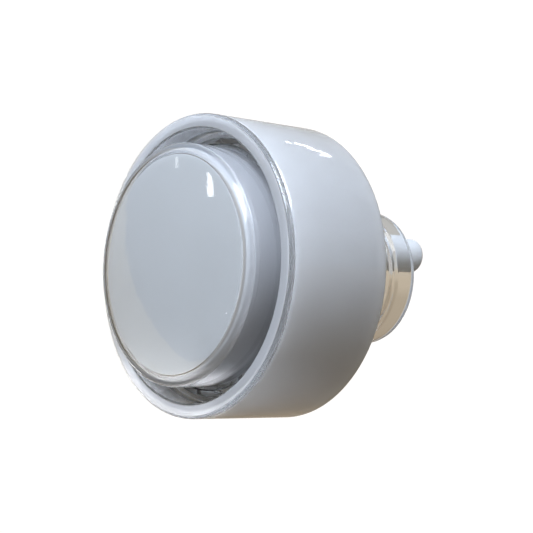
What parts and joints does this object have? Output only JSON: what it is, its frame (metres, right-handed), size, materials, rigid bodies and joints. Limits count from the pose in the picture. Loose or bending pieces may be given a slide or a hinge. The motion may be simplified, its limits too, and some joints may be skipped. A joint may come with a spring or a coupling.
{
  "type": "arcade button",
  "caption": "Round illuminated push button with a clear bezel, white sleeve, sprung clear-capped plunger, lamp and a neck that passes through a panel.",
  "frame": {"origin": "on the button's axis at the panel's front face, where the sleeve's back rests and the neck begins", "axes": "+Z out of the panel towards the player, along the plunger; +Y towards the side where the switch leg stands off the axis; -Z down the neck"},
  "size_m": [0.06, 0.06, 0.0667],
  "materials": {
    "clear_plastic": "clear polycarbonate, polished",
    "clear_cap": "clear polycarbonate, polished",
    "white_gloss_plastic": "glossy moulded white",
    "white_matte_plastic": "satin moulded white",
    "leg_white": "glossy moulded white",
    "diffuser_white": "milky white, translucent",
    "grey_plastic": "satin moulded grey",
    "contact_brass": "bright stamped brass",
    "plain_steel": "zinc-plated steel",
    "board_white": "solder-masked laminate",
    "chip_yellow": "phosphor over a light chip",
    "resistor_black": "black chip resistor"
  },
  "bodies": {
    "housing": {"clear_housing": "clear_plastic", "outer_sleeve": "white_gloss_plastic", "lamp_holder": "white_matte_plastic", "contact_front": "contact_brass", "contact_rear": "contact_brass", "lamp_base": "white_matte_plastic", "lamp_leads": "plain_steel", "lamp_board": "board_white", "light_chips": "chip_yellow", "lamp_resistor": "resistor_black", "lamp_lens": "clear_plastic", "spring_washer": "plain_steel", "return_spring": "plain_steel"},
    "plunger": {"plunger_cap": "clear_cap", "diffuser_disc": "diffuser_white", "plunger_carrier": "grey_plastic", "actuator_leg": "leg_white", "leg_screws": "plain_steel"}
  },
  "joints": [
    {"name": "plunger_slide", "type": "slide", "parent": "housing", "child": "plunger", "axis": [0, 0, -1], "range_m": [0, 0.004], "stiffness_N_per_m": 250, "springref_m": -0.006, "deforming": ["return_spring"]}
  ]
}
